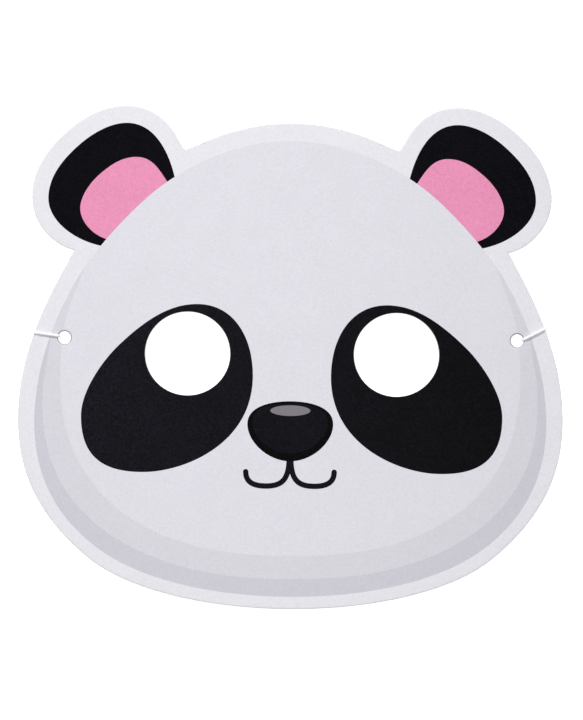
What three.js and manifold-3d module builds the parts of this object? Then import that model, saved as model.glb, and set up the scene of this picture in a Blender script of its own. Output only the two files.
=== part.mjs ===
// Paper panda mask: one die-cut card, gently bowed from side to side, lying face up on its two cheeks,
// with a thin round elastic tied through a punched hole at each side.
// Millimetres, +Z up, +Y towards the ears. The origin is under the middle of the card, on the surface
// that the mask lies on.

import * as THREE from 'three';
import { mergeVertices } from 'three/addons/utils/BufferGeometryUtils.js';
import Module from 'manifold-3d';

const wasm = await Module();
wasm.setup();

// The card
const HEAD_WIDTH = 210.4; // across the cheeks
const CARD_HEIGHT = 193.5; // from the chin to the tops of the ears
const CROWN_DROP = 6.6; // the crown lies this far below the tops of the ears
const CHEEK_HEIGHT = 72.6; // the widest place, above the chin
const CARD_THICKNESS = 0.5;
const BOW_RISE = 13; // the middle of the card stands this far above its side edges
const BOW_STRIPS = 15; // flat strips that the bow is made of; an odd number has one in the middle

// The ears
const EAR_LENGTH = 62.8; // along the longer way of the ear, which leans outwards
const EAR_WIDTH = 48;
const EAR_LEAN = 41.5; // degrees that the longer way falls away from level
const EAR_SPREAD = 142.4; // from the middle of one ear to the middle of the other
const EAR_FULLNESS = 2.16; // 2 is an ellipse, and more is squarer

// The holes
const EYE_DIAMETER = 32.6;
const EYE_SPACING = 80.4;
const EYE_DROP = 88.8; // below the crown
const PUNCH_DIAMETER = 6;
const PUNCH_INSET = 17.9; // from the widest place of the head in to the middle of the hole
const PUNCH_DROP = 83; // below the crown

// The elastic
const ELASTIC_DIAMETER = 1.1;
const ELASTIC_SIDES = 8;
const ELASTIC_CLEARANCE = 0.2; // between the elastic and the card that it goes round
const KNOT_DIAMETER = 2.5;
const KNOT_OFFSET = 5.4; // from the middle of the punched hole out to the middle of the knot
const KNOT_REST = 0.1; // under the knot
const RUN_CLEARANCE = 0.3; // between each knot and the free run

// How finely curves are drawn
const OUTLINE_STEPS = 13;
const EAR_STEPS = 44;
const EYE_SIDES = 36;
const PUNCH_SIDES = 16;
const LOOP_STEPS = 44;
const RUN_STEPS = 78;

const CUT_MARGIN = 1; // a cutter runs this far past both faces of the card
const ON_LINE = 1e-4; // closer than this to a bend counts as on it

const CARD_COLOUR = '#e3e2ea';
const ELASTIC_COLOUR = '#f1eff2';

// Half of the head's outline, from the crown down the right side to the chin.
// out: share of the half width. up: share of the height above the cheeks, or below them if negative.
// heading: the way the outline runs there, in degrees. before, after: how far its curve reaches back and
// on along that heading, as shares of the half width.
const HEAD_CURVE = [
  { place: 'crown', out: 0, up: 1, heading: 0, before: 0, after: 0.44 },
  { place: 'temple', out: 0.798, up: 0.564, heading: -60, before: 0.1, after: 0.21 },
  { place: 'cheek', out: 1, up: 0, heading: -90, before: 0.23, after: 0.195 },
  { place: 'jaw', out: 0.739, up: -0.734, heading: -141, before: 0.235, after: 0.193 },
  { place: 'chin', out: 0, up: -1, heading: -180, before: 0.295, after: 0 },
];

// How the elastic lies over each side of the card: the side, the slant of its strand on the front in
// degrees above level, and how far to one side of the middle of the punched hole the strand passes.
const STRANDS = {
  left: { side: -1, slant: 7.6, aside: 0.35 },
  right: { side: 1, slant: 26.7, aside: -0.7 },
};

// The free run of the elastic, a loose bow on the surface behind the face, between its two ends.
const RUN_ROUTE = [
  [-92.3, -1.5, 0.75],
  [-91.6, -8, 0.62],
  [-90.6, -16, 0.62],
  [-88.9, -26, 0.62],
  [-86, -36, 0.62],
  [-81.6, -46, 0.62],
  [-75.4, -55, 0.62],
  [-66.8, -63.5, 0.62],
  [-56, -71, 0.62],
  [-43, -77.6, 0.62],
  [-28.5, -82.4, 0.62],
  [-13, -84.9, 0.62],
  [3, -85.3, 0.62],
  [19, -83.6, 0.62],
  [34.5, -80.1, 0.62],
  [48.5, -74.6, 0.62],
  [60.6, -67.4, 0.62],
  [70.6, -58.9, 0.62],
  [78.4, -49.4, 0.62],
  [84, -39, 0.62],
  [87.7, -28, 0.62],
  [90, -17, 0.62],
  [91.5, -8, 0.62],
  [92.4, -1.5, 0.75],
];

const halfWidth = HEAD_WIDTH / 2;
const earTopY = CARD_HEIGHT / 2;
const chinY = -CARD_HEIGHT / 2;
const crownY = earTopY - CROWN_DROP;
const cheekY = chinY + CHEEK_HEIGHT;
const elasticRadius = ELASTIC_DIAMETER / 2;
const punchRadius = PUNCH_DIAMETER / 2;
const punchX = halfWidth - PUNCH_INSET;
const punchY = crownY - PUNCH_DROP;
const knotZ = KNOT_REST + KNOT_DIAMETER / 2;

// Solids

function toSolid(geometry) {
  const bare = geometry.clone();
  bare.deleteAttribute('normal');
  bare.deleteAttribute('uv');
  const merged = mergeVertices(bare, ON_LINE);
  const mesh = new wasm.Mesh({
    numProp: 3,
    vertProperties: Float32Array.from(merged.attributes.position.array),
    triVerts: Uint32Array.from(merged.index.array),
  });
  return new wasm.Manifold(mesh);
}

function toGeometry(solid) {
  const { vertProperties, triVerts } = solid.getMesh();
  const geometry = new THREE.BufferGeometry();
  geometry.setAttribute('position', new THREE.BufferAttribute(vertProperties, 3));
  geometry.setIndex(new THREE.BufferAttribute(triVerts, 1));
  return geometry;
}

function flatPlate(shape) {
  const options = { depth: CARD_THICKNESS, bevelEnabled: false, curveSegments: OUTLINE_STEPS };
  return toSolid(new THREE.ExtrudeGeometry(shape, options));
}

function roundCutter(x, y, diameter, sides) {
  const length = CARD_THICKNESS + 2 * CUT_MARGIN;
  const cutter = new THREE.CylinderGeometry(diameter / 2, diameter / 2, length, sides);
  cutter.rotateX(Math.PI / 2);
  cutter.translate(x, y, CARD_THICKNESS / 2);
  return toSolid(cutter);
}

// The head's outline

function headCorners() {
  return HEAD_CURVE.map((row) => {
    const reach = row.up > 0 ? crownY - cheekY : cheekY - chinY;
    const at = new THREE.Vector2(row.out * halfWidth, cheekY + row.up * reach);
    const angle = THREE.MathUtils.degToRad(row.heading);
    const along = new THREE.Vector2(Math.cos(angle), Math.sin(angle)).multiplyScalar(halfWidth);
    return {
      at,
      from: at.clone().addScaledVector(along, -row.before),
      to: at.clone().addScaledVector(along, row.after),
    };
  });
}

function headShape() {
  const corners = headCorners();
  const shape = new THREE.Shape();
  shape.moveTo(corners[0].at.x, corners[0].at.y);
  for (let i = 1; i < corners.length; i += 1) {
    const { to } = corners[i - 1];
    const { from, at } = corners[i];
    shape.bezierCurveTo(to.x, to.y, from.x, from.y, at.x, at.y);
  }
  for (let i = corners.length - 1; i > 0; i -= 1) {
    const { from } = corners[i];
    const { to, at } = corners[i - 1];
    shape.bezierCurveTo(-from.x, from.y, -to.x, to.y, -at.x, at.y);
  }
  return shape;
}

// The ears

function earOutline() {
  const lean = THREE.MathUtils.degToRad(-EAR_LEAN);
  const points = [];
  for (let i = 0; i < EAR_STEPS; i += 1) {
    const turn = (i / EAR_STEPS) * 2 * Math.PI;
    const cos = Math.cos(turn);
    const sin = Math.sin(turn);
    const along = Math.sign(cos) * Math.abs(cos) ** (2 / EAR_FULLNESS) * (EAR_LENGTH / 2);
    const across = Math.sign(sin) * Math.abs(sin) ** (2 / EAR_FULLNESS) * (EAR_WIDTH / 2);
    points.push(new THREE.Vector2(along, across).rotateAround(new THREE.Vector2(), lean));
  }
  return points;
}

function earShape(side) {
  const outline = earOutline();
  const rise = Math.max(...outline.map((point) => point.y));
  const placed = outline.map((point) => {
    const x = side * (EAR_SPREAD / 2 + point.x);
    return new THREE.Vector2(x, earTopY - rise + point.y);
  });
  return new THREE.Shape(placed);
}

// The bow: flat strips whose edges lie on one arc, highest in the middle

const stripWidth = HEAD_WIDTH / BOW_STRIPS;
const bowRadius = (halfWidth ** 2 + BOW_RISE ** 2) / (2 * BOW_RISE);
const bends = Array.from({ length: BOW_STRIPS + 1 }, (_, i) => {
  const x = -halfWidth + i * stripWidth;
  return { x, z: Math.sqrt(bowRadius ** 2 - x ** 2) - bowRadius + BOW_RISE };
});
const stripTilts = bends.slice(1).map((bend, i) => Math.atan2(bend.z - bends[i].z, stripWidth));

function stripAt(x) {
  return THREE.MathUtils.clamp(Math.floor((x + halfWidth) / stripWidth), 0, BOW_STRIPS - 1);
}

function backZ(x) {
  const strip = stripAt(x);
  return bends[strip].z + (x - bends[strip].x) * Math.tan(stripTilts[strip]);
}

function frontZ(x) {
  return backZ(x) + CARD_THICKNESS / Math.cos(stripTilts[stripAt(x)]);
}

// A point of the flat card, at a height above its back, where it lies in the bowed card.
// On a bend between two strips the wall leans half way between them, so both faces stay closed.
function bowed(x, y, height) {
  const strip = stripAt(x);
  const bend = bends.findIndex((line) => Math.abs(line.x - x) < ON_LINE);
  const inner = bend > 0 && bend < BOW_STRIPS;
  const before = stripTilts[inner ? bend - 1 : strip];
  const after = stripTilts[inner ? bend : strip];
  const tilt = (before + after) / 2;
  const reach = height / Math.cos((before - after) / 2);
  return [x - Math.sin(tilt) * reach, y, backZ(x) + Math.cos(tilt) * reach];
}

// Cuts one triangle along a bend, into one, two or three triangles
function cutAtBend(triangle, bendX) {
  const sides = [[], []];
  triangle.forEach((point, i) => {
    const next = triangle[(i + 1) % triangle.length];
    const offset = point[0] - bendX;
    const nextOffset = next[0] - bendX;
    if (offset < ON_LINE) {
      sides[0].push(point);
    }
    if (offset > -ON_LINE) {
      sides[1].push(point);
    }
    if (Math.abs(offset) > ON_LINE && Math.abs(nextOffset) > ON_LINE && offset * nextOffset < 0) {
      const [left, right] = offset < 0 ? [point, next] : [next, point];
      const share = (bendX - left[0]) / (right[0] - left[0]);
      const middle = [bendX, left[1] + share * (right[1] - left[1]), left[2] + share * (right[2] - left[2])];
      sides[0].push(middle);
      sides[1].push(middle);
    }
  });
  return sides.flatMap((polygon) => fan(polygon, bendX));
}

function fan(polygon, bendX) {
  const flatOnBend = polygon.every((point) => Math.abs(point[0] - bendX) < ON_LINE);
  if (polygon.length < 3 || flatOnBend) {
    return [];
  }
  return polygon.slice(2).map((point, i) => [polygon[0], polygon[i + 1], point]);
}

function trianglesOf(geometry) {
  const { position } = geometry.attributes;
  const order = Array.from(geometry.index.array);
  const points = order.map((i) => [position.getX(i), position.getY(i), position.getZ(i)]);
  return Array.from({ length: points.length / 3 }, (_, i) => points.slice(3 * i, 3 * i + 3));
}

function bowCard(flat) {
  let triangles = trianglesOf(flat);
  for (const { x } of bends.slice(1, -1)) {
    triangles = triangles.flatMap((triangle) => cutAtBend(triangle, x));
  }
  const places = triangles.flat().flatMap((point) => bowed(...point));
  const geometry = new THREE.BufferGeometry();
  geometry.setAttribute('position', new THREE.Float32BufferAttribute(places, 3));
  return geometry;
}

function maskCard() {
  let card = flatPlate(headShape());
  for (const side of [-1, 1]) {
    card = card.add(flatPlate(earShape(side)));
  }
  for (const side of [-1, 1]) {
    const eye = roundCutter((side * EYE_SPACING) / 2, crownY - EYE_DROP, EYE_DIAMETER, EYE_SIDES);
    const punch = roundCutter(side * punchX, punchY, PUNCH_DIAMETER, PUNCH_SIDES);
    card = card.subtract(eye).subtract(punch);
  }
  return bowCard(toGeometry(card));
}

// The elastic

// A line on the card, seen from the front, that the strand of elastic follows
function strandLine({ side, slant, aside }) {
  const angle = THREE.MathUtils.degToRad(slant);
  const start = new THREE.Vector2(
    side * (punchX - aside * Math.sin(angle)),
    punchY + aside * Math.cos(angle),
  );
  const along = new THREE.Vector2(side * Math.cos(angle), Math.sin(angle));
  return (distance) => start.clone().addScaledVector(along, distance);
}

// How far along its line a strand meets the edge of the head
function distanceToEdge(line) {
  const outline = headShape().getPoints(OUTLINE_STEPS);
  const start = line(0);
  const along = line(1).sub(start);
  let found = 0;
  outline.forEach((point, i) => {
    const next = outline[(i + 1) % outline.length];
    const here = point.clone().sub(start).cross(along);
    const there = next.clone().sub(start).cross(along);
    if (here * there < 0) {
      const meeting = point.clone().lerp(next, here / (here - there));
      found = Math.max(found, meeting.sub(start).dot(along));
    }
  });
  return found;
}

function tube(points, steps) {
  const path = new THREE.CatmullRomCurve3(points, false, 'centripetal');
  const section = new THREE.Shape(
    Array.from({ length: ELASTIC_SIDES }, (_, i) => {
      const turn = ((i + 0.5) / ELASTIC_SIDES) * 2 * Math.PI;
      return new THREE.Vector2(Math.cos(turn), Math.sin(turn)).multiplyScalar(elasticRadius);
    }),
  );
  return new THREE.ExtrudeGeometry(section, { steps, extrudePath: path });
}

function knotCentre(strand) {
  const place = strandLine(strand)(KNOT_OFFSET);
  return new THREE.Vector3(place.x, place.y, knotZ);
}

function elasticLoop(strand) {
  const line = strandLine(strand);
  const off = elasticRadius + ELASTIC_CLEARANCE;
  const corner = off * Math.SQRT1_2;
  const at = (distance, height) => {
    const place = line(distance);
    return new THREE.Vector3(place.x, place.y, height(place.x));
  };
  // Up round a cut edge of the card, from under its back to over its front
  const roundCutEdge = (distance, way) => [
    at(distance, (x) => backZ(x) - off),
    at(distance + way * corner, (x) => backZ(x) - corner),
    at(distance + way * off, (x) => (backZ(x) + frontZ(x)) / 2),
    at(distance + way * corner, (x) => frontZ(x) + corner),
    at(distance, (x) => frontZ(x) + off),
  ];
  const rim = Math.sqrt(punchRadius ** 2 - strand.aside ** 2);
  const edge = distanceToEdge(line);
  const points = [
    at(KNOT_OFFSET - elasticRadius, () => knotZ),
    ...roundCutEdge(rim, -1),
    at((rim + edge) / 2, (x) => frontZ(x) + off),
    ...roundCutEdge(edge, 1).reverse(),
    at(KNOT_OFFSET + elasticRadius, () => knotZ),
  ];
  const knot = new THREE.SphereGeometry(KNOT_DIAMETER / 2, 12, 8);
  const { x, y, z } = knotCentre(strand);
  knot.translate(x, y, z);
  return toGeometry(toSolid(tube(points, LOOP_STEPS)).add(toSolid(knot)));
}

// The free run starts and ends just clear of the two knots
function elasticRun() {
  const reach = KNOT_DIAMETER / 2 + RUN_CLEARANCE;
  const ends = [STRANDS.left, STRANDS.right].map((strand) => {
    const centre = knotCentre(strand);
    centre.y -= reach;
    return centre;
  });
  const points = [ends[0], ...RUN_ROUTE.map((place) => new THREE.Vector3(...place)), ends[1]];
  return tube(points, RUN_STEPS);
}

// The mask

function piece(name, geometry, colour, roughness) {
  const bare = geometry.index ? geometry.toNonIndexed() : geometry;
  bare.computeVertexNormals();
  const material = new THREE.MeshStandardMaterial({ color: colour, roughness, metalness: 0 });
  const mesh = new THREE.Mesh(bare, material);
  mesh.name = name;
  return mesh;
}

const mask = new THREE.Group();
mask.add(
  piece('mask_card', maskCard(), CARD_COLOUR, 0.75),
  piece('elastic_loop_left', elasticLoop(STRANDS.left), ELASTIC_COLOUR, 0.8),
  piece('elastic_loop_right', elasticLoop(STRANDS.right), ELASTIC_COLOUR, 0.8),
  piece('elastic_cord', elasticRun(), ELASTIC_COLOUR, 0.8),
);

export default mask;
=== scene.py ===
import math

import bpy
import numpy as np
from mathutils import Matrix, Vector


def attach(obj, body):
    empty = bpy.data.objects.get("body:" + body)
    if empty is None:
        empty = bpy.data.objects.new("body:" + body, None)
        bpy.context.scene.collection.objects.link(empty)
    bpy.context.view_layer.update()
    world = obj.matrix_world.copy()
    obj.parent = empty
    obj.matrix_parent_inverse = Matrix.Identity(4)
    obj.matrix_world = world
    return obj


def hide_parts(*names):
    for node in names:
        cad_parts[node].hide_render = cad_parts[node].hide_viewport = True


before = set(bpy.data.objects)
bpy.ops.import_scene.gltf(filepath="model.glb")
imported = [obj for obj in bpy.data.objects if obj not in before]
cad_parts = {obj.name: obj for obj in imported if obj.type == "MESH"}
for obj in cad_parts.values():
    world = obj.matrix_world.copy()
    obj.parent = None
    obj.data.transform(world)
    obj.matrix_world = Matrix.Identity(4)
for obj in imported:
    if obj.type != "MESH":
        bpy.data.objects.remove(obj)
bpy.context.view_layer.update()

# The card and its print are drawn in millimetres, and made metres once they are cut.
MM = 0.001

# The sheet of card, the same sizes as the solids
HALF_WIDTH = 105.2
BOW_RISE = 13.0
CARD_THICKNESS = 0.5
BOW_RADIUS = (HALF_WIDTH**2 + BOW_RISE**2) / (2 * BOW_RISE)
SHEET_SIZE = (214.0, 197.0)
SHEET_CELLS = (72, 66)
RULE_HEIGHT = 6
SMOOTH_UP_TO = 26
# The die rounds the printed side over at each cut edge, in two falls that start this far from the edge,
# and presses the back in by less
PRESSED_WIDTH = 0.3
BRINK_WIDTH = 0.13
BRINK_FALL = 0.07
CUT_FALL = 0.13
PRESSED_DEPTH = 0.1
# The punch draws the card down round its hole: each ring's radius, and its fall below the ring before it
PUNCHED_RINGS = ((3.2, 0), (3.02, 0.04), (2.87, 0.08), (2.74, 0.12), (2.62, 0.15), (2.5, 0.18))
RING_REACH = 0.02
PUNCHED_BURR = 0.22
# The points of a line lie about this far apart, and points closer than the smallest step become one
LINE_STEP = 0.9
SMALLEST_STEP = 0.03

# Half outlines, from the top down the right side to the bottom. Each row is a corner of the curve:
# x, y, the way the line runs there in degrees, and how far its curve reaches back and on from there.
HEAD_OUTLINE = [
    (0, 90.15, 0, 0, 46.3),
    (83.95, 40.3, -60, 10.5, 22.1),
    (105.2, -24.15, -90, 24.2, 20.5),
    (77.75, -77.45, -141, 24.7, 20.3),
    (0, -96.75, -180, 31, 0),
]
FACE_OUTLINE = [
    (0, 83.35, 0, 0, 25.4),
    (54.7, 62.25, -40.7, 11.8, 8),
    (84.1, 27.25, -61.3, 17, 14.7),
    (98.8, -25.35, -90, 21.1, 19.1),
    (74.1, -73.85, -143.8, 21.4, 20.9),
    (0, -92.05, -180, 29, 0),
]
NOSE_OUTLINE = [
    (0, -16.8, 0, 0, 8.5),
    (16.5, -25.6, -90, 6.4, 6.9),
    (0, -39.9, -180, 8.55, 0),
]
NOSE_MIDDLE_OUTLINE = [
    (0, -17.7, 0, 0, 8),
    (14.5, -24.8, -90, 5.4, 6.4),
    (0, -36.9, -180, 7.4, 0),
]
# The whole outline of the right eye patch, in the same rows, against the clock
PATCH_OUTLINE = [
    (40.65, 20.1, 171.4, 8.2, 16.7),
    (15.5, -0.75, 261.5, 10.7, 31.5),
    (56.3, -44.45, -1.5, 16.2, 15.8),
    (81.2, -22.75, 90.2, 16.4, 10.15),
    (67.2, 3.95, 135.7, 6.6, 14.2),
]
# The right ear's black and pink, from where each leaves the face round to where it meets it again
EAR_BLACK_OUTLINE = [
    (72.7, 42.45, 10.8, 0, 12.4),
    (94.05, 61.35, 91.4, 8.5, 8.4),
    (82.7, 81.15, 137.8, 7.5, 7.5),
    (63.95, 90.1, 179.5, 6.2, 11.3),
    (45.0, 68.2, 257.6, 10, 0),
    (52.0, 48.0, 0, 0, 0),
]
EAR_PINK_OUTLINE = [
    (68.8, 44.65, 7.6, 0, 7.8),
    (81.65, 57.6, 93.7, 5.3, 4.3),
    (73.4, 70.95, 140.5, 6.0, 4.8),
    (59.85, 76.95, 180.5, 5.7, 7.2),
    (46.4, 65.2, 230.2, 6, 0),
    (52.0, 50.0, 0, 0, 0),
]
# The middle of the right half of the mouth line
MOUTH_LINE = [
    (0.3, -38.3, -90, 0, 8.5),
    (9.3, -49.47, 0, 6.5, 4.8),
    (17.0, -44.0, 90, 4.0, 0),
]
MOUTH_WIDTH = 2.1
# The upper corner between the right ear and the head: down the ear, out along the head, and back inside
EAR_CORNER = [(44.7, 85.21, -119.1, 0, 1.6), (41.2, 79.8, -132, 1.8, 0)]
HEAD_CORNER = [(41.2, 79.8, 162, 0, 2), (35.13, 82.25, 155.5, 2, 0)]
CORNER_INSIDE = [(31.8, 83.2), (36.5, 76.0), (46.5, 76.0), (48.5, 83.0), (46.61, 87.4)]
# How far the print of each part lies to the right of the middle of the card
EYES_X = 0.5
EAR_PRINT_X = 0.12
SHADES_X = -0.15

# Ovals: centre, half length, half width, lean in degrees, and how square they are (2 is an ellipse)
EAR_EDGE = ((71.2, 68.54), 31.4, 24.0, -41.5, 2.16)
NOSE_SHINE = ((0, -20.4), 7.7, 2.05, 0, 2.0)
LIGHT_SHADE = ((0, -6.35), 88.7, 70.0, 0, 2.37)
DARK_SHADE = ((0, -17.65), 95.5, 67.6, 0, 2.29)
EYE_HOLE = ((40.2, 1.35), 16.35, 16.05, 0, 2.0)
PUNCHED_HOLE = ((87.3, 7.15), 2.5, 2.5, 0, 2.0)
# Where the inner lines of the two shades leave their ovals and run out over the edge of the face
LIGHT_SHADE_TIP = [
    (86.1, 16.1), (85.45, 18.3), (84.4, 21.5), (83.0, 25.2),
    (81.3, 29.6), (79.4, 34.4), (77.0, 40.5), (76.0, 46.0),
]
DARK_SHADE_TIP = [(93.5, 0.25), (92.2, 9.4), (91.0, 15.0), (110.0, 20.0)]

# The elastic, and how its cut ends are rounded: the end ring's share of the width, and what each next adds
ELASTIC_WIDTH = 1.1
ELASTIC_SIDES = 16
BRAID_PITCH = 0.95
BRAID_RELIEF = 0.035
END_SHARE = 0.55
END_GROWTH = 0.2
END_RINGS = 3
# The front strands: their slope in degrees, and how far they lie beside the middle of the punched hole
STRANDS = {
    "left": {"side": -1, "slant": 7.6, "aside": 0.35},
    "right": {"side": 1, "slant": 26.7, "aside": -0.7},
}
# Where it turns over a cut edge: its share of its thickness, how far that reaches, and its gaps to the card
PRESSED_ELASTIC = 0.66
PRESSED_REACH = 1.6
TURN_GAP = 0.07
FRONT_GAP = 0.01
PUNCHED_DRAWN = 0.45
SHARE_BESIDE = 0.6
STEP_BACK = 0.6
# The knot behind the card: how far it lies from the punched hole and from the surface, its form, its lead
# from the free run and its tail, as places beside the run's end and beside the knot
KNOT_OFFSET = 5.4
KNOT_Z = 1.35
KNOT_SIZE = 0.44
KNOT_RISE = 0.55
KNOT_OPENING = 0.35
KNOT_PLACES = 26
KNOT_HALF_GAP = 0.7
KNOT_TAIL = [(1.5, 2.3, -0.2), (2.0, 4.4, -0.35), (1.7, 6.6, -0.5)]
RUN_GAP = 0.1
KNOT_LEAD = [(0, RUN_GAP, 0), (0, 0.55, 0.1)]
# The places that the free run follows on the surface, from knot to knot
RUN_ROUTE = [
    (-92.61, 6.66, 1.35), (-92.3, -1.5, 0.75), (-91.6, -8, 0.62), (-90.6, -16, 0.62),
    (-88.9, -26, 0.62), (-86, -36, 0.62), (-81.6, -46, 0.62), (-75.4, -55, 0.62),
    (-66.8, -63.5, 0.62), (-56, -71, 0.62), (-43, -77.6, 0.62), (-28.5, -82.4, 0.62),
    (-13, -84.9, 0.62), (3, -85.3, 0.62), (19, -83.6, 0.62), (34.5, -80.1, 0.62),
    (48.5, -74.6, 0.62), (60.6, -67.4, 0.62), (70.6, -58.9, 0.62), (78.4, -49.4, 0.62),
    (84, -39, 0.62), (87.7, -28, 0.62), (90, -17, 0.62), (91.5, -8, 0.62),
    (92.4, -1.5, 0.75), (92.44, 7.4, 1.35),
]


# Working by hand: one piece at a time

def let_go():
    if bpy.context.object and bpy.context.object.mode != "OBJECT":
        bpy.ops.object.mode_set(mode="OBJECT")
    bpy.ops.object.select_all(action="DESELECT")


def take(*pieces):
    let_go()
    for piece in pieces:
        piece.select_set(True)
    bpy.context.view_layer.objects.active = pieces[0]


def edit(piece, kind="FACE"):
    take(piece)
    bpy.ops.object.mode_set(mode="EDIT")
    bpy.ops.mesh.select_mode(type=kind)


def choose(piece, kind, wanted):
    """Selects the faces or points that are wanted, one answer for each, and nothing else."""
    edit(piece, kind)
    bpy.ops.mesh.select_all(action="DESELECT")
    bpy.ops.object.mode_set(mode="OBJECT")
    for part, want in zip(piece.data.polygons if kind == "FACE" else piece.data.vertices, wanted):
        part.select = bool(want)
    bpy.ops.object.mode_set(mode="EDIT")


# The camera, straight above the face

CAMERA_HEIGHT = 3.0
FACE_HEIGHT = 0.005
FRAME_HEIGHT = 0.2779
FRAME_MIDDLE = (0.0003, -0.0009)
PHOTO_TURN = 0.4


def set_up_camera():
    data = bpy.data.cameras.new("camera")
    data.sensor_width = 36
    data.lens = data.sensor_width * CAMERA_HEIGHT / FRAME_HEIGHT
    data.clip_start, data.clip_end = 0.1, 20
    camera = bpy.data.objects.new("camera", data)
    camera.location = (*FRAME_MIDDLE, FACE_HEIGHT + CAMERA_HEIGHT)
    camera.rotation_euler = (0, 0, math.radians(PHOTO_TURN))
    bpy.context.scene.collection.objects.link(camera)
    bpy.context.scene.camera = camera


set_up_camera()


# The elastic: a tube of fine braid along a smooth path

def smooth_path(places, step):
    """Points about step apart on a smooth curve through the places, in millimetres."""
    places = [np.array(place, float) for place in places]
    places = [2 * places[0] - places[1], *places, 2 * places[-1] - places[-2]]
    fine = []
    for a, b, c, d in zip(places, places[1:], places[2:], places[3:]):
        t0 = 0.0
        t1 = t0 + np.linalg.norm(b - a) ** 0.5
        t2 = t1 + np.linalg.norm(c - b) ** 0.5
        t3 = t2 + np.linalg.norm(d - c) ** 0.5
        for t in np.linspace(t1, t2, 40, endpoint=False):
            ab = (t1 - t) / (t1 - t0) * a + (t - t0) / (t1 - t0) * b
            bc = (t2 - t) / (t2 - t1) * b + (t - t1) / (t2 - t1) * c
            cd = (t3 - t) / (t3 - t2) * c + (t - t2) / (t3 - t2) * d
            abc = (t2 - t) / (t2 - t0) * ab + (t - t0) / (t2 - t0) * bc
            bcd = (t3 - t) / (t3 - t1) * bc + (t - t1) / (t3 - t1) * cd
            fine.append((t2 - t) / (t2 - t1) * abc + (t - t1) / (t2 - t1) * bcd)
    fine.append(places[-2])
    fine = np.array(fine)
    along = np.concatenate([[0], np.cumsum(np.linalg.norm(np.diff(fine, axis=0), axis=1))])
    at = np.linspace(0, along[-1], math.ceil(along[-1] / step) + 1)
    return np.stack([np.interp(at, along, fine[:, axis]) for axis in range(3)], axis=1)


def braided_tube(name, places, step, rounded=(True, True), flatness=None, level=None):
    """A tube of round braided elastic along the places. Gives the piece and its ring centres in metres.
    Where it is pulled over an edge, it is flattened across the level direction by flatness(centre)."""
    path = smooth_path(places, step)
    runs = np.gradient(path, axis=0)
    runs /= np.linalg.norm(runs, axis=1)[:, None]
    side = Vector(runs[0]).orthogonal().normalized()
    points, faces, along = [], [], 0.0
    laid = []
    for ring, (centre, run) in enumerate(zip(path, runs)):
        run = Vector(run)
        side = (side - side.dot(run) * run).normalized()
        across = run.cross(side)
        if ring:
            along += float(np.linalg.norm(path[ring] - path[ring - 1]))
        from_start = ring if rounded[0] else END_RINGS
        from_end = len(path) - 1 - ring if rounded[1] else END_RINGS
        taper = min(1.0, END_SHARE + END_GROWTH * min(from_start, from_end))
        for corner in range(ELASTIC_SIDES):
            turn = 2 * math.pi * corner / ELASTIC_SIDES
            braid = math.cos(4 * turn) * math.cos(2 * math.pi * along / BRAID_PITCH)
            reach = (ELASTIC_WIDTH / 2 + BRAID_RELIEF * braid) * taper
            offset = (side * math.cos(turn) + across * math.sin(turn)) * reach
            if flatness:
                pressed = run.cross(level).normalized()
                offset -= pressed * offset.dot(pressed) * (1 - flatness(centre))
            points.append(Vector(centre) + offset)
            laid.append((corner / ELASTIC_SIDES, along))
    for ring in range(len(path) - 1):
        for corner in range(ELASTIC_SIDES):
            following = (corner + 1) % ELASTIC_SIDES
            low, high = ring * ELASTIC_SIDES, (ring + 1) * ELASTIC_SIDES
            faces.append((low + corner, low + following, high + following, high + corner))
    last = (len(path) - 1) * ELASTIC_SIDES
    faces.append(tuple(reversed(range(ELASTIC_SIDES))))
    faces.append(tuple(range(last, last + ELASTIC_SIDES)))
    mesh = bpy.data.meshes.new(name)
    mesh.from_pydata([point * MM for point in points], [], faces)
    thread = mesh.uv_layers.new(name="braid")
    for face in mesh.polygons:
        wraps = max(laid[mesh.loops[i].vertex_index][0] for i in face.loop_indices) > 0.9
        for i in face.loop_indices:
            around, run_along = laid[mesh.loops[i].vertex_index]
            if wraps and around < 0.1:
                around = 1.0
            thread.data[i].uv = (around, run_along)
    mesh.shade_smooth()
    tube = bpy.data.objects.new(name, mesh)
    bpy.context.scene.collection.objects.link(tube)
    return tube, path * MM


elastic_run, run_path = braided_tube("elastic_run_braid", RUN_ROUTE, step=0.16, rounded=(False, False))


# Lines of the card and its print

def curve_between(start, end):
    """Points of the curve from one corner row to the next, without its end."""
    x, y, heading, _, reach = start
    a = np.array([x, y], float)
    b = a + reach * np.array([math.cos(math.radians(heading)), math.sin(math.radians(heading))])
    x, y, heading, reach, _ = end
    d = np.array([x, y], float)
    c = d - reach * np.array([math.cos(math.radians(heading)), math.sin(math.radians(heading))])
    length = np.linalg.norm(b - a) + np.linalg.norm(c - b) + np.linalg.norm(d - c)
    shares = np.arange(0, 1, 1 / max(4, round(length / LINE_STEP)))[:, None]
    rest = 1 - shares
    return rest**3 * a + 3 * rest**2 * shares * b + 3 * rest * shares**2 * c + shares**3 * d


def open_line(rows):
    pieces = [curve_between(start, end) for start, end in zip(rows, rows[1:])]
    return np.vstack([*pieces, [rows[-1][:2]]])


def closed_line(rows):
    return np.vstack([curve_between(start, end) for start, end in zip(rows, rows[1:] + rows[:1])])


def both_sides(half):
    """Closes a half line, from top to bottom, with its mirror image."""
    mirrored = half[-2:0:-1] * [-1, 1]
    return np.vstack([half, mirrored])


def inset(line, width):
    """A closed line moved inwards all round, or outwards with a width below 0."""
    run = np.roll(line, -1, axis=0) - np.roll(line, 1, axis=0)
    run /= np.linalg.norm(run, axis=1)[:, None]
    following = np.roll(line, -1, axis=0)
    turned = np.sign((line[:, 0] * following[:, 1] - following[:, 0] * line[:, 1]).sum())
    return line + np.stack([-run[:, 1], run[:, 0]], 1) * turned * width


def mirror(line):
    return (line * [-1, 1])[::-1]


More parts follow.
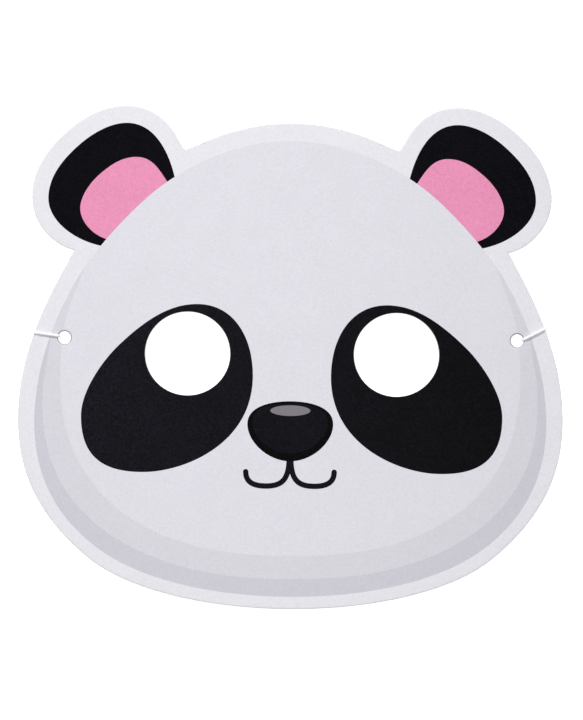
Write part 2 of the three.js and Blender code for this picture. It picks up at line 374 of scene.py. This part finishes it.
def oval(place, half_length, half_width, lean, fullness):
    count = max(40, round(math.tau * math.sqrt(half_length * half_width) / LINE_STEP))
    turn = (np.arange(count) + 0.5) / count * math.tau
    cos, sin = np.cos(turn), np.sin(turn)
    x = np.sign(cos) * np.abs(cos) ** (2 / fullness) * half_length
    y = np.sign(sin) * np.abs(sin) ** (2 / fullness) * half_width
    lean = math.radians(lean)
    leaned_x = x * math.cos(lean) - y * math.sin(lean)
    leaned_y = x * math.sin(lean) + y * math.cos(lean)
    return np.stack([leaned_x, leaned_y], 1) + np.array(place)


def shade_line(place, half_length, half_width, lean, fullness, tip):
    """The inner line of a shade: the lower part of its oval, then out over the edge of the face."""
    whole = oval(place, half_length, half_width, lean, fullness)
    lower = whole[whole[:, 1] < tip[0][1] - 0.4]
    lower = lower[np.argsort(np.unwrap(np.arctan2(lower[:, 1] - 40, lower[:, 0])))]
    right = np.array(tip)
    left = right[::-1] * [-1, 1]
    beyond = np.array([(120, 115), (-120, 115)], float)
    return np.vstack([left, lower, right, beyond])


def stroke(line, width):
    """The outline of a line drawn with a pen of that width, with round ends."""
    run = np.gradient(line, axis=0)
    run /= np.linalg.norm(run, axis=1)[:, None]
    side = np.stack([-run[:, 1], run[:, 0]], 1) * width / 2
    turns = np.linspace(0, math.pi, 9)[1:-1]
    cap = [line[-1] + side[-1] * math.cos(t) + run[-1] * width / 2 * math.sin(t) for t in turns]
    return np.vstack([line + side, cap, (line - side)[::-1]])


def within(line, places):
    """Which of the places lie inside a closed line."""
    inside = np.zeros(len(places), bool)
    x, y = places[:, 0], places[:, 1]
    for (x0, y0), (x1, y1) in zip(line, np.roll(line, -1, axis=0)):
        if y0 != y1:
            meets = (y0 > y) != (y1 > y)
            inside ^= meets & (x < x0 + (y - y0) / (y1 - y0) * (x1 - x0))
    return inside


LINES = {
    "head": both_sides(open_line(HEAD_OUTLINE)),
    "face": both_sides(open_line(FACE_OUTLINE)),
    "light_shade": shade_line(*LIGHT_SHADE, LIGHT_SHADE_TIP) + [SHADES_X, 0],
    "dark_shade": shade_line(*DARK_SHADE, DARK_SHADE_TIP) + [SHADES_X, 0],
    "nose": both_sides(open_line(NOSE_OUTLINE)),
    "nose_middle": both_sides(open_line(NOSE_MIDDLE_OUTLINE)),
    "nose_shine": oval(*NOSE_SHINE),
}
for name, right_line, shift in (
    ("ear", oval(*EAR_EDGE), 0),
    ("ear_corner", np.vstack([open_line(EAR_CORNER)[:-1], open_line(HEAD_CORNER), CORNER_INSIDE]), 0),
    ("ear_black", closed_line(EAR_BLACK_OUTLINE), EAR_PRINT_X),
    ("ear_pink", closed_line(EAR_PINK_OUTLINE), EAR_PRINT_X),
    ("patch", closed_line(PATCH_OUTLINE), EYES_X),
    ("eye_hole", oval(*EYE_HOLE), EYES_X),
    ("punched_hole", oval(*PUNCHED_HOLE), 0),
    *(("punched_ring_%d" % number, oval(PUNCHED_HOLE[0], radius, radius, 0, 2), 0)
      for number, (radius, _) in enumerate(PUNCHED_RINGS[:-1])),
    ("mouth", stroke(open_line(MOUTH_LINE), MOUTH_WIDTH), 0),
):
    LINES[name + "_right"] = right_line + [shift, 0]
    LINES[name + "_left"] = mirror(right_line) + [shift, 0]
for name in ("head", "ear_right", "ear_left", "ear_corner_right", "ear_corner_left"):
    LINES[name + "_pressed"] = inset(LINES[name], PRESSED_WIDTH)
    LINES[name + "_brink"] = inset(LINES[name], BRINK_WIDTH)
for name in ("eye_hole_right", "eye_hole_left"):
    LINES[name + "_pressed"] = inset(LINES[name], -PRESSED_WIDTH)
    LINES[name + "_brink"] = inset(LINES[name], -BRINK_WIDTH)


def on_card(places, border):
    """Which of the places lie on the card at least the border away from its outline and its eye holes."""
    kept = within(inset(LINES["head"], border), places)
    for side in ("left", "right"):
        kept |= within(inset(LINES["ear_" + side], border), places)
        kept |= within(inset(LINES["ear_corner_" + side], border), places)
    for side in ("left", "right"):
        kept &= ~within(inset(LINES["eye_hole_" + side], -border), places)
    return kept


# The finishes

def add_node(tree, kind, place=(0, 0), **settings):
    node = tree.nodes.new(kind)
    node.location = place
    for key, value in settings.items():
        if key in ("inputs", "ramp"):
            continue
        setattr(node, key, value)
    for key, value in settings.get("inputs", {}).items():
        node.inputs[key].default_value = value
    if "ramp" in settings:
        ramp = node.color_ramp
        (low, dark), (high, bright) = settings["ramp"]
        ramp.elements[0].position, ramp.elements[1].position = low, high
        ramp.elements[0].color = (dark, dark, dark, 1)
        ramp.elements[1].color = (bright, bright, bright, 1)
    return node


def linear(red, green, blue):
    """A colour given as it shows on a screen, 0 to 255, as light."""
    def light(value):
        value /= 255
        return value / 12.92 if value <= 0.04045 else ((value + 0.055) / 1.055) ** 2.4
    return (light(red), light(green), light(blue), 1)


def empty_finish(name):
    material = bpy.data.materials.new(name)
    material.use_nodes = True
    material.node_tree.nodes.clear()
    return material, material.node_tree, material.node_tree.links.new


def layered(tree, place, way, inputs):
    """Two colours laid one over the other."""
    return add_node(tree, "ShaderNodeMix", place, data_type="RGBA", blend_type=way, inputs=inputs)


# How far the paper finish's clouds and its finer grain carry its mottle, and its bare fibres
CLOUD_SHARE = 0.35
GRAIN_SHARE = 1.6
FIBRE_SIZE = (0.0012, 0.00012, 0.0012)
FIBRE_COLOUR = (0.62, 0.61, 0.62, 1)
STOCK_GAIN = 0.8
BLACK_GAIN = 0.42


def paper_finish(name, shown, gain=STOCK_GAIN, show_through=0.0, mottle=0.035, roughness=0.62,
                 gloss=0.3, bump=0.25, painted_sheen_slope=0.0):
    """Matt card or ink on card: cloudy density, fine fibres in every direction, a little tooth, and where
    asked a painted sheen that lightens it towards the left.
    """
    material, tree, link = empty_finish(name)
    colour = [channel * gain for channel in linear(*shown)[:3]] + [1]
    place = add_node(tree, "ShaderNodeTexCoord", (-1500, 0)).outputs["Object"]
    clouds = add_node(tree, "ShaderNodeTexNoise", (-1250, 300),
                      inputs={"Scale": 85, "Detail": 4, "Roughness": 0.55})
    grain = add_node(tree, "ShaderNodeTexNoise", (-1250, 50),
                     inputs={"Scale": 1150, "Detail": 4, "Roughness": 0.62})
    link(place, clouds.inputs["Vector"])
    link(place, grain.inputs["Vector"])
    swirl = add_node(tree, "ShaderNodeTexNoise", (-1450, -350), inputs={"Scale": 160, "Detail": 2})
    bent = add_node(tree, "ShaderNodeVectorMath", (-1250, -350), operation="MULTIPLY_ADD",
                    inputs={1: (0.004, 0.004, 0.004)})
    link(place, swirl.inputs["Vector"])
    link(swirl.outputs["Color"], bent.inputs[0])
    link(place, bent.inputs[2])
    fibres = []
    for turn, height in ((0.5, -250), (1.7, -450), (2.6, -650)):
        laid = add_node(tree, "ShaderNodeMapping", (-1050, height), vector_type="TEXTURE",
                        inputs={"Rotation": (0, 0, turn), "Scale": FIBRE_SIZE})
        hair = add_node(tree, "ShaderNodeTexNoise", (-850, height), inputs={"Scale": 1, "Detail": 1})
        thin = add_node(tree, "ShaderNodeValToRGB", (-650, height), ramp=((0.6, 0), (0.72, 1)))
        link(bent.outputs[0], laid.inputs["Vector"])
        link(laid.outputs[0], hair.inputs["Vector"])
        link(hair.outputs["Fac"], thin.inputs["Fac"])
        fibres.append(thin.outputs["Color"])
    crossed = layered(tree, (-400, -350), "LIGHTEN", {0: 1})
    felted = layered(tree, (-200, -450), "LIGHTEN", {0: 1})
    link(fibres[0], crossed.inputs[6])
    link(fibres[1], crossed.inputs[7])
    link(crossed.outputs[2], felted.inputs[6])
    link(fibres[2], felted.inputs[7])

    cloudy, grainy = (
        add_node(tree, "ShaderNodeValToRGB", (-1000, height), ramp=((0.3, 1 - spread), (0.7, 1 + spread)))
        for height, spread in ((300, CLOUD_SHARE * mottle), (50, GRAIN_SHARE * mottle))
    )
    link(clouds.outputs["Fac"], cloudy.inputs["Fac"])
    link(grain.outputs["Fac"], grainy.inputs["Fac"])
    density = layered(tree, (-600, 200), "MULTIPLY", {0: 1})
    inked = layered(tree, (-350, 250), "MULTIPLY", {0: 1, 6: colour})
    link(cloudy.outputs["Color"], density.inputs[6])
    link(grainy.outputs["Color"], density.inputs[7])
    # The colour grows lighter towards the left and darker towards the right across the card: a painted sheen
    # from the left
    across = add_node(tree, "ShaderNodeSeparateXYZ", (-800, 500))
    spread = add_node(tree, "ShaderNodeMapRange", (-600, 500), inputs={
        "From Min": -0.08, "From Max": 0.08, "To Min": 1 + painted_sheen_slope, "To Max": 1 - painted_sheen_slope})
    sheen_sloped = layered(tree, (-450, 400), "MULTIPLY", {0: 1})
    link(place, across.inputs[0])
    link(across.outputs["X"], spread.inputs["Value"])
    link(density.outputs[2], sheen_sloped.inputs[6])
    link(spread.outputs["Result"], sheen_sloped.inputs[7])
    link(sheen_sloped.outputs[2], inked.inputs[7])
    worn = layered(tree, (50, 250), "MIX", {7: FIBRE_COLOUR})
    seen = add_node(tree, "ShaderNodeMath", (-50, 50), operation="MULTIPLY", inputs={1: show_through})
    link(felted.outputs[2], seen.inputs[0])
    link(seen.outputs[0], worn.inputs[0])
    link(inked.outputs[2], worn.inputs[6])

    tooth = add_node(tree, "ShaderNodeMath", (50, -150), operation="MULTIPLY_ADD", inputs={1: 0.6})
    link(felted.outputs[2], tooth.inputs[0])
    link(grain.outputs["Fac"], tooth.inputs[2])
    raised = add_node(tree, "ShaderNodeBump", (250, -200), inputs={"Strength": bump, "Distance": 0.00003})
    link(tooth.outputs[0], raised.inputs["Height"])
    matt = add_node(tree, "ShaderNodeMapRange", (250, 0), inputs={
        "From Min": 0.3, "From Max": 0.7, "To Min": roughness - 0.05, "To Max": roughness + 0.06})
    link(grain.outputs["Fac"], matt.inputs["Value"])
    shader = add_node(tree, "ShaderNodeBsdfPrincipled", (500, 200), inputs={"Specular IOR Level": gloss})
    link(worn.outputs[2], shader.inputs["Base Color"])
    link(matt.outputs["Result"], shader.inputs["Roughness"])
    link(raised.outputs["Normal"], shader.inputs["Normal"])
    result = add_node(tree, "ShaderNodeOutputMaterial", (800, 200))
    link(shader.outputs[0], result.inputs["Surface"])
    return material


def cut_edge_finish():
    """The die-cut edge: pressed layers of card fibre, one above the other, slightly furred, and darker than
    the face as painted shade.
    """
    material, tree, link = empty_finish("die_cut_edge")
    place = add_node(tree, "ShaderNodeTexCoord", (-1100, 0)).outputs["Object"]
    pressed = add_node(tree, "ShaderNodeMapping", (-900, 100), inputs={"Scale": (350, 350, 12000)})
    layers = add_node(tree, "ShaderNodeTexNoise", (-700, 100), inputs={"Scale": 1, "Detail": 3})
    fur = add_node(tree, "ShaderNodeTexNoise", (-700, -150), inputs={"Scale": 5200, "Detail": 3})
    link(place, pressed.inputs["Vector"])
    link(pressed.outputs[0], layers.inputs["Vector"])
    link(place, fur.inputs["Vector"])
    # Bare card fibre, made darker than the printed face: partly its own colour, partly painted shade along
    # the cut edge
    pulp_and_shade = add_node(tree, "ShaderNodeValToRGB", (-450, 100), ramp=((0.3, 0.4), (0.7, 0.54)))
    link(layers.outputs["Fac"], pulp_and_shade.inputs["Fac"])
    rough = add_node(tree, "ShaderNodeMath", (-450, -150), operation="ADD")
    link(layers.outputs["Fac"], rough.inputs[0])
    link(fur.outputs["Fac"], rough.inputs[1])
    raised = add_node(tree, "ShaderNodeBump", (-200, -150), inputs={"Strength": 0.6, "Distance": 0.00004})
    link(rough.outputs[0], raised.inputs["Height"])
    shader = add_node(tree, "ShaderNodeBsdfPrincipled", (50, 100),
                      inputs={"Roughness": 0.85, "Specular IOR Level": 0.15})
    link(pulp_and_shade.outputs["Color"], shader.inputs["Base Color"])
    link(raised.outputs["Normal"], shader.inputs["Normal"])
    result = add_node(tree, "ShaderNodeOutputMaterial", (350, 100))
    link(shader.outputs[0], result.inputs["Surface"])
    return material


def elastic_finish():
    """White braided elastic: two sets of fine yarns that cross, over a soft core, with painted shade in the
    grooves between them.
    """
    material, tree, link = empty_finish("white_braided_elastic")
    thread = add_node(tree, "ShaderNodeUVMap", (-1300, 100), uv_map="braid").outputs["UV"]
    yarns = []
    for slant, height in ((1, 200), (-1, -100)):
        laid = add_node(tree, "ShaderNodeMapping", (-1100, height),
                        inputs={"Scale": (8, slant * 4 / BRAID_PITCH, 1)})
        summed = add_node(tree, "ShaderNodeSeparateXYZ", (-900, height))
        sloped = add_node(tree, "ShaderNodeMath", (-750, height), operation="ADD")
        waves = add_node(tree, "ShaderNodeMath", (-600, height), operation="MULTIPLY", inputs={1: math.tau})
        ridge = add_node(tree, "ShaderNodeMath", (-450, height), operation="SINE")
        link(thread, laid.inputs["Vector"])
        link(laid.outputs[0], summed.inputs[0])
        link(summed.outputs["X"], sloped.inputs[0])
        link(summed.outputs["Y"], sloped.inputs[1])
        link(sloped.outputs[0], waves.inputs[0])
        link(waves.outputs[0], ridge.inputs[0])
        yarns.append(ridge.outputs[0])
    plaited = add_node(tree, "ShaderNodeMath", (-250, 50), operation="MAXIMUM")
    link(yarns[0], plaited.inputs[0])
    link(yarns[1], plaited.inputs[1])
    place = add_node(tree, "ShaderNodeTexCoord", (-700, -350)).outputs["Object"]
    fuzz = add_node(tree, "ShaderNodeTexNoise", (-500, -350), inputs={"Scale": 4200, "Detail": 3})
    link(place, fuzz.inputs["Vector"])
    height = add_node(tree, "ShaderNodeMath", (-50, -150), operation="MULTIPLY_ADD", inputs={1: 0.8})
    link(fuzz.outputs["Fac"], height.inputs[0])
    link(plaited.outputs[0], height.inputs[2])
    raised = add_node(tree, "ShaderNodeBump", (150, -150), inputs={"Strength": 0.4, "Distance": 0.00004})
    link(height.outputs[0], raised.inputs["Height"])
    # The grooves between the yarn ridges are darkened: painted shade
    painted_groove_shade = add_node(tree, "ShaderNodeMapRange", (-50, 150), inputs={
        "From Min": -0.6, "From Max": 1.0, "To Min": 0.8, "To Max": 1.0})
    link(plaited.outputs[0], painted_groove_shade.inputs["Value"])
    yarn = layered(tree, (150, 200), "MULTIPLY", {0: 1, 6: (0.9, 0.885, 0.9, 1)})
    link(painted_groove_shade.outputs["Result"], yarn.inputs[7])
    shader = add_node(tree, "ShaderNodeBsdfPrincipled", (400, 150), inputs={
        "Roughness": 0.7, "Specular IOR Level": 0.3, "Sheen Weight": 0.15, "Sheen Roughness": 0.5})
    link(yarn.outputs[2], shader.inputs["Base Color"])
    link(raised.outputs["Normal"], shader.inputs["Normal"])
    result = add_node(tree, "ShaderNodeOutputMaterial", (700, 150))
    link(shader.outputs[0], result.inputs["Surface"])
    return material


# Each finish of the card: the colour that it shows, and where it differs from plain matt card
BLACK_INK = {"gain": BLACK_GAIN, "mottle": 0.45, "roughness": 0.72, "gloss": 0.03, "show_through": 0.008}
FACE_BLACK_INK = {**BLACK_INK, "gloss": 0.05}
PAPER_FINISHES = {
    "unprinted_stock": ((234, 233, 239), {}),
    "face_tint": ((226, 225, 233), {}),
    "light_shade_ink": ((218, 217, 225), {}),
    "dark_shade_ink": ((208, 207, 216), {}),
    "ear_pink_ink": ((236, 147, 186), {"mottle": 0.07}),
    # The patch ink is painted lighter on the left and darker on the right, as a sheen from the left
    "patch_black_ink": (
        (23, 22, 30), {**FACE_BLACK_INK, "mottle": 0.5, "show_through": 0.01, "painted_sheen_slope": 0.55}),
    "ear_black_ink": ((17, 15, 23), BLACK_INK),
    "nose_black_ink": ((24, 22, 31), {**FACE_BLACK_INK, "show_through": 0.009}),
    "nose_edge_ink": ((12, 12, 15), BLACK_INK),
    "nose_shine_ink": ((124, 120, 125), {}),
    # The lip round each punched hole: a darker card colour, painted shade in the hole's rim
    "punched_lip_painted_shade": ((178, 177, 182), {"mottle": 0.08, "bump": 0.5}),
    "plain_back": ((228, 226, 230), {"mottle": 0.045, "roughness": 0.72, "bump": 0.4}),
}
INKS = {name: paper_finish(name, shown, **changes) for name, (shown, changes) in PAPER_FINISHES.items()}
INKS["die_cut_edge"] = cut_edge_finish()
elastic_yarn = elastic_finish()


# The card: a flat sheet, cut along every line of the die and of the print

def sheet_of_card():
    bpy.ops.mesh.primitive_grid_add(x_subdivisions=SHEET_CELLS[0], y_subdivisions=SHEET_CELLS[1], size=1)
    sheet = bpy.context.object
    sheet.name = sheet.data.name = "panda_mask_card"
    sheet.scale = (*SHEET_SIZE, 1)
    bpy.ops.object.transform_apply(location=False, rotation=False, scale=True)
    return sheet


def cutting_rule(name, line):
    """A thin upright blade along a closed line, as in a steel rule die."""
    bpy.ops.mesh.primitive_circle_add(vertices=len(line), radius=1, fill_type="NOTHING")
    rule = bpy.context.object
    rule.name = "rule_" + name
    for point, (x, y) in zip(rule.data.vertices, line):
        point.co = (x, y, -RULE_HEIGHT / 2)
    edit(rule, "EDGE")
    bpy.ops.mesh.select_all(action="SELECT")
    bpy.ops.mesh.extrude_region_move(TRANSFORM_OT_translate={"value": (0, 0, RULE_HEIGHT)})
    let_go()
    return rule


def choose_rules(sheet):
    """Selects the blades in the sheet, which are all that stands upright."""
    let_go()
    choose(sheet, "FACE", [abs(face.normal.z) < 0.5 for face in sheet.data.polygons])


def press(sheet, rules):
    """Cuts the sheet along the rules and takes the rules away."""
    take(sheet, *rules)
    bpy.ops.object.join()
    choose_rules(sheet)
    bpy.ops.mesh.intersect(mode="SELECT_UNSELECT", separate_mode="NONE", solver="EXACT")
    choose_rules(sheet)
    bpy.ops.mesh.delete(type="FACE")
    bpy.ops.mesh.select_all(action="DESELECT")
    bpy.ops.mesh.select_loose()
    bpy.ops.mesh.delete(type="VERT")
    bpy.ops.mesh.select_all(action="SELECT")
    bpy.ops.mesh.remove_doubles(threshold=SMALLEST_STEP)
    bpy.ops.mesh.dissolve_degenerate(threshold=SMALLEST_STEP)
    bpy.ops.mesh.select_face_by_sides(number=4, type="GREATER", extend=False)
    bpy.ops.mesh.quads_convert_to_tris(quad_method="BEAUTY", ngon_method="BEAUTY")
    let_go()


def face_middles(sheet):
    return np.array([tuple(face.center)[:2] for face in sheet.data.polygons])


def strip_waste(sheet):
    """Takes away what falls outside the head and ears, and the holes."""
    places = face_middles(sheet)
    kept = within(LINES["head"], places)
    for side in ("left", "right"):
        kept |= within(LINES["ear_" + side], places)
        kept |= within(LINES["ear_corner_" + side], places)
    for side in ("left", "right"):
        kept &= ~within(LINES["eye_hole_" + side], places)
        kept &= ~within(LINES["punched_hole_" + side], places)
    choose(sheet, "FACE", ~kept)
    bpy.ops.mesh.delete(type="FACE")
    let_go()


def print_inks(sheet):
    """Gives each face its ink, in the order of the printing."""
    for ink in INKS.values():
        sheet.data.materials.append(ink)
    number = {name: i for i, name in enumerate(INKS)}
    places = face_middles(sheet)
    inside = {name: within(line, places) for name, line in LINES.items()}
    ink = np.full(len(places), number["unprinted_stock"])
    for side in ("left", "right"):
        ink[inside["ear_black_" + side]] = number["ear_black_ink"]
        ink[inside["ear_pink_" + side]] = number["ear_pink_ink"]
    face = inside["face"]
    ink[face] = number["face_tint"]
    ink[face & ~inside["light_shade"]] = number["light_shade_ink"]
    ink[face & ~inside["dark_shade"]] = number["dark_shade_ink"]
    for side in ("left", "right"):
        ink[inside["patch_" + side]] = number["patch_black_ink"]
        ink[inside["mouth_" + side]] = number["nose_black_ink"]
    ink[inside["nose"]] = number["nose_edge_ink"]
    ink[inside["nose_middle"]] = number["nose_black_ink"]
    ink[inside["nose_shine"]] = number["nose_shine_ink"]
    # Inside each punched hole's third ring the card gets a darker colour: painted shade on the drawn-down lip
    for side in ("left", "right"):
        ink[inside["punched_ring_2_" + side]] = number["punched_lip_painted_shade"]
    # The brink along every cut edge takes the cut edge's colour: bare card fibre, darkened as painted shade
    ink[~on_card(places, BRINK_WIDTH)] = number["die_cut_edge"]
    for polygon, choice in zip(sheet.data.polygons, ink):
        polygon.material_index = int(choice)


def back_z(x):
    return math.sqrt(BOW_RADIUS**2 - x**2) - BOW_RADIUS + BOW_RISE


def note_cut_edges(sheet):
    """Notes the points of every cut edge, and of the brink beside it, while the sheet is still one skin."""
    edit(sheet, "EDGE")
    bpy.ops.mesh.select_all(action="DESELECT")
    bpy.ops.mesh.select_non_manifold(
        extend=False, use_wire=False, use_multi_face=False, use_non_contiguous=False, use_verts=False)
    sheet.vertex_groups.new(name="cut_edge")
    bpy.ops.object.vertex_group_assign()
    bpy.ops.mesh.select_all(action="DESELECT")
    bpy.ops.object.mode_set(mode="OBJECT")
    places = np.array([tuple(point.co)[:2] for point in sheet.data.vertices]) / MM
    for point, within_brink in zip(sheet.data.vertices, on_card(places, BRINK_WIDTH + SMALLEST_STEP)):
        point.select = not within_brink
    bpy.ops.object.mode_set(mode="EDIT")
    bpy.ops.mesh.select_mode(type="VERT")
    sheet.vertex_groups.new(name="brink")
    sheet.vertex_groups.active_index = 1
    bpy.ops.object.vertex_group_assign()
    let_go()


def sink(sheet, wanted, depth):
    """Moves the wanted points down by the depth."""
    choose(sheet, "VERT", wanted)
    bpy.ops.transform.translate(value=(0, 0, -depth * MM))
    let_go()


def press_cut_edges(sheet):
    """The die rounds every cut edge over and presses it in behind, and the punch draws its rims down."""
    places = np.array([tuple(point.co) for point in sheet.data.vertices]) / MM
    cut, brink = (
        np.array([number in [noted.group for noted in point.groups] for point in sheet.data.vertices])
        for number in (0, 1)
    )
    printed = places[:, 2] > [back_z(x) + CARD_THICKNESS / 2 for x in places[:, 0]]
    unbowed_x = places[:, 0] / np.where(printed, 1 + CARD_THICKNESS / BOW_RADIUS, 1)
    away = np.hypot(np.abs(unbowed_x) - PUNCHED_HOLE[0][0], places[:, 1] - PUNCHED_HOLE[0][1])
    punched = away < PUNCHED_RINGS[0][0]
    sink(sheet, cut & ~punched & ~printed, -PRESSED_DEPTH)
    sink(sheet, brink & ~punched & printed, BRINK_FALL)
    sink(sheet, cut & ~punched & printed, CUT_FALL)
    sink(sheet, cut & punched & ~printed, PUNCHED_BURR)
    for radius, fall in PUNCHED_RINGS[1:]:
        sink(sheet, printed & (away < radius + RING_REACH), fall)


def bow_and_thicken(sheet):
    """Bends the cut sheet into its bow, gives it its thickness, and presses its cut edges."""
    for point in sheet.data.vertices:
        point.co.z = back_z(point.co.x)
        point.co *= MM
    edit(sheet)
    bpy.ops.mesh.select_all(action="SELECT")
    bpy.ops.mesh.normals_make_consistent(inside=False)
    let_go()
    if sum(face.normal.z for face in sheet.data.polygons) < 0:
        sheet.data.flip_normals()
    note_cut_edges(sheet)
    skin = len(sheet.data.polygons)
    take(sheet)
    thicken = sheet.modifiers.new("thickness", "SOLIDIFY")
    thicken.thickness = CARD_THICKNESS * MM
    thicken.offset = 1
    thicken.use_even_offset = True
    bpy.ops.object.modifier_apply(modifier=thicken.name)
    edge_ink = list(INKS).index("die_cut_edge")
    back_ink = list(INKS).index("plain_back")
    for number, face in enumerate(sheet.data.polygons):
        if number >= 2 * skin:
            face.material_index = edge_ink
        elif number >= skin:
            face.material_index = back_ink
    press_cut_edges(sheet)
    sheet.vertex_groups.clear()
    take(sheet)
    bpy.ops.object.shade_smooth_by_angle(angle=math.radians(SMOOTH_UP_TO))
    flatten = sheet.modifiers.new("flat_beside_pressed", "WEIGHTED_NORMAL")
    flatten.keep_sharp = True
    bpy.ops.object.modifier_apply(modifier=flatten.name)


def make_card():
    let_go()
    sheet = sheet_of_card()
    press(sheet, [cutting_rule(name, line) for name, line in LINES.items()])
    strip_waste(sheet)
    print_inks(sheet)
    bow_and_thicken(sheet)
    return sheet


card = make_card()


# The elastic loops: up through the punched hole, over the front, round the edge, and back to the knot

def distance_to_edge(line):
    """How far along a line, given as a place for each distance, the head's outline is."""
    outline = LINES["head"]
    start, along = line(0), line(1) - line(0)
    found = 0
    for here, there in zip(outline, np.roll(outline, -1, axis=0)):
        a, b = (here - start), (there - start)
        offset_a = a[0] * along[1] - a[1] * along[0]
        offset_b = b[0] * along[1] - b[1] * along[0]
        if offset_a * offset_b < 0:
            meeting = here + (there - here) * offset_a / (offset_a - offset_b) - start
            found = max(found, float(meeting @ along))
    return found


def make_loop(name, side, slant, aside):
    """One strand through its punched hole and round the card's edge, with the overhand knot behind."""
    angle = math.radians(slant)
    (punch_x, punch_y), punch_radius = PUNCHED_HOLE[:2]
    start = np.array([side * (punch_x - aside * math.sin(angle)), punch_y + aside * math.cos(angle)])
    along = np.array([side * math.cos(angle), math.sin(angle)])
    off = PRESSED_ELASTIC * ELASTIC_WIDTH / 2 + TURN_GAP
    corner = off * math.sqrt(0.5)

    def line(distance):
        return start + along * distance

    def at(distance, height):
        x, y = line(distance)
        return (x, y, height(x))

    def front_z(x):
        return back_z(x) + CARD_THICKNESS / math.cos(x / BOW_RADIUS)

    def over_front(x):
        return front_z(x) + ELASTIC_WIDTH / 2 + FRONT_GAP

    def round_cut_edge(distance, way, drawn, burr):
        """From behind the card to its front, round a cut edge with its front drawn down and a burr behind."""
        printed = distance + CARD_THICKNESS * punch_x / BOW_RADIUS
        return [
            at(distance, lambda x: back_z(x) - off - burr),
            at(distance + way * corner, lambda x: back_z(x) - corner - SHARE_BESIDE * burr),
            at((distance + printed) / 2 + way * off, lambda x: (back_z(x) + front_z(x)) / 2),
            at(printed + way * corner, lambda x: front_z(x) + corner - drawn),
            at(printed, lambda x: front_z(x) + off - SHARE_BESIDE * drawn),
            at(printed - way * STEP_BACK, lambda x: front_z(x) + off),
        ]

    rim = math.sqrt(punch_radius**2 - aside**2)
    edge = distance_to_edge(line)
    knot = np.array([*line(KNOT_OFFSET), KNOT_Z])
    places = [
        at(KNOT_OFFSET - KNOT_HALF_GAP, lambda x: KNOT_Z),
        *round_cut_edge(rim, -1, PUNCHED_DRAWN, PUNCHED_BURR),
        at(0.72 * rim + 0.28 * edge, over_front),
        at(0.28 * rim + 0.72 * edge, over_front),
        *reversed(round_cut_edge(edge, 1, 0, 0)),
        at(KNOT_OFFSET + KNOT_HALF_GAP, lambda x: KNOT_Z),
    ]
    cuts = [np.array(at(rim, back_z)), np.array(at(edge, back_z))]

    def flatness(centre):
        """The elastic is pulled flat where it turns over a cut edge of the card."""
        near = min(np.linalg.norm(centre - cut) for cut in cuts)
        return 1 - (1 - PRESSED_ELASTIC) * math.exp(-((near / PRESSED_REACH) ** 4))

    level = Vector((-along[1], along[0], 0))
    loop, _ = braided_tube(name, places, step=0.12, flatness=flatness, level=level)
    wound = [
        knot + np.array([
            -KNOT_SIZE * (math.sin(t) + 2 * math.sin(2 * t)),
            -KNOT_SIZE * (math.cos(t) - 2 * math.cos(2 * t)),
            -KNOT_RISE * math.sin(3 * t),
        ])
        for t in np.linspace(KNOT_OPENING, math.tau - KNOT_OPENING, KNOT_PLACES)
    ]
    run_end = np.array(RUN_ROUTE[0] if side < 0 else RUN_ROUTE[-1])
    lead = [run_end + beside for beside in KNOT_LEAD]
    tail = [knot + [-side * x, y, z] for x, y, z in KNOT_TAIL]
    knotted, _ = braided_tube(name + "_knot", [*lead, *wound, *tail], step=0.12, rounded=(False, True))
    take(loop, knotted)
    bpy.ops.object.join()
    return loop


loops = [
    make_loop("elastic_loop_" + name + "_braid", strand["side"], strand["slant"], strand["aside"])
    for name, strand in STRANDS.items()
]
for piece in (elastic_run, *loops):
    piece.data.materials.clear()
    piece.data.materials.append(elastic_yarn)


# The surface, the light and the look of the picture

def make_floor():
    bpy.ops.mesh.primitive_plane_add(size=6)
    floor = bpy.context.object
    floor.name = "floor"
    material = bpy.data.materials.new("pale_floor")
    material.use_nodes = True
    shader = material.node_tree.nodes["Principled BSDF"]
    shader.inputs["Base Color"].default_value = (0.93, 0.93, 0.93, 1)
    shader.inputs["Roughness"].default_value = 0.9
    shader.inputs["Specular IOR Level"].default_value = 0.0
    shader.inputs["Emission Color"].default_value = (1, 1, 1, 1)
    shader.inputs["Emission Strength"].default_value = 0.48
    floor.data.materials.append(material)


def make_light(name, place, size, power):
    data = bpy.data.lights.new(name, "AREA")
    data.shape = "DISK"
    data.size = size
    data.energy = power
    light = bpy.data.objects.new(name, data)
    light.location = place
    light.rotation_euler = (-Vector(place)).to_track_quat("-Z", "Y").to_euler()
    bpy.context.scene.collection.objects.link(light)


make_floor()
make_light("key", (0, 0, 2.9), 0.5, 34)
make_light("high_light", (-0.5, 2.0, 2.2), 0.4, 66)
world = bpy.data.worlds.new("studio")
world.use_nodes = True
world.node_tree.nodes["Background"].inputs["Color"].default_value = (1, 1, 1, 1)
world.node_tree.nodes["Background"].inputs["Strength"].default_value = 0.26
bpy.context.scene.world = world
bpy.context.scene.view_settings.view_transform = "Standard"
bpy.context.scene.view_settings.look = "None"

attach(card, "root")
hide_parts("mask_card")
for loop, node in zip(loops, ("elastic_loop_left", "elastic_loop_right")):
    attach(loop, "root")
    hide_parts(node)
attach(elastic_run, "root")
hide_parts("elastic_cord")

let_go()
